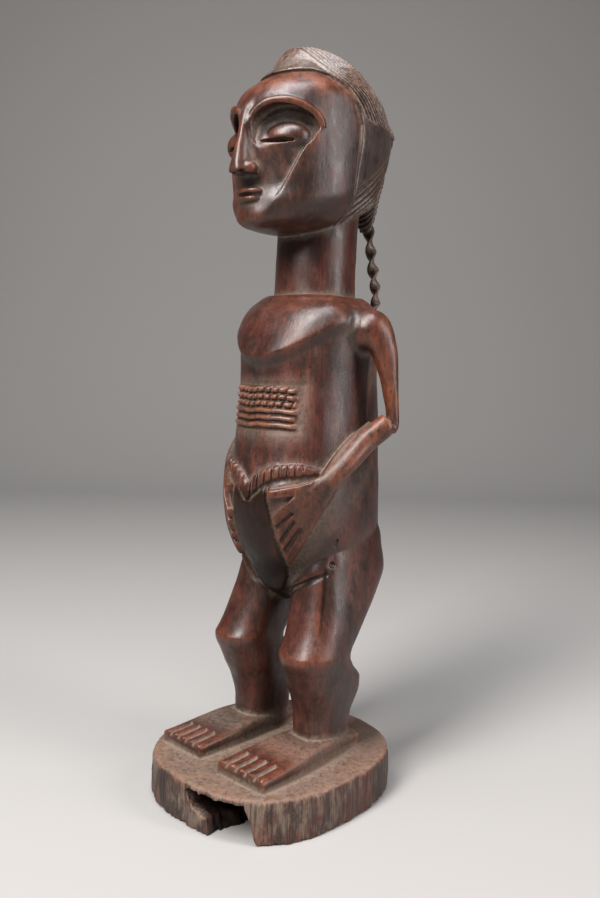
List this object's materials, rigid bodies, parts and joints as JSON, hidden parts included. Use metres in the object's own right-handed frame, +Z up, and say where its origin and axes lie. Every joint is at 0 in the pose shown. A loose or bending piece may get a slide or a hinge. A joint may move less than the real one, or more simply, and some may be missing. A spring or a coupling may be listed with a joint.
{
  "type": "ancestor figure",
  "caption": "Standing figure carved with its rounded base from one piece of wood, hands on the belly, combed hair crest and a hanging braid.",
  "frame": {"origin": "middle of the base's underside", "axes": "+Z up along the figure, -Y the way the figure faces, +X to the figure's own left"},
  "size_m": [0.124, 0.1464, 0.4299],
  "materials": {
    "dark_wood": "dark red-brown polished hardwood, worn orange on high places, dusty in the recesses"
  },
  "bodies": {
    "root": {"figure": "dark_wood"}
  },
  "joints": []
}
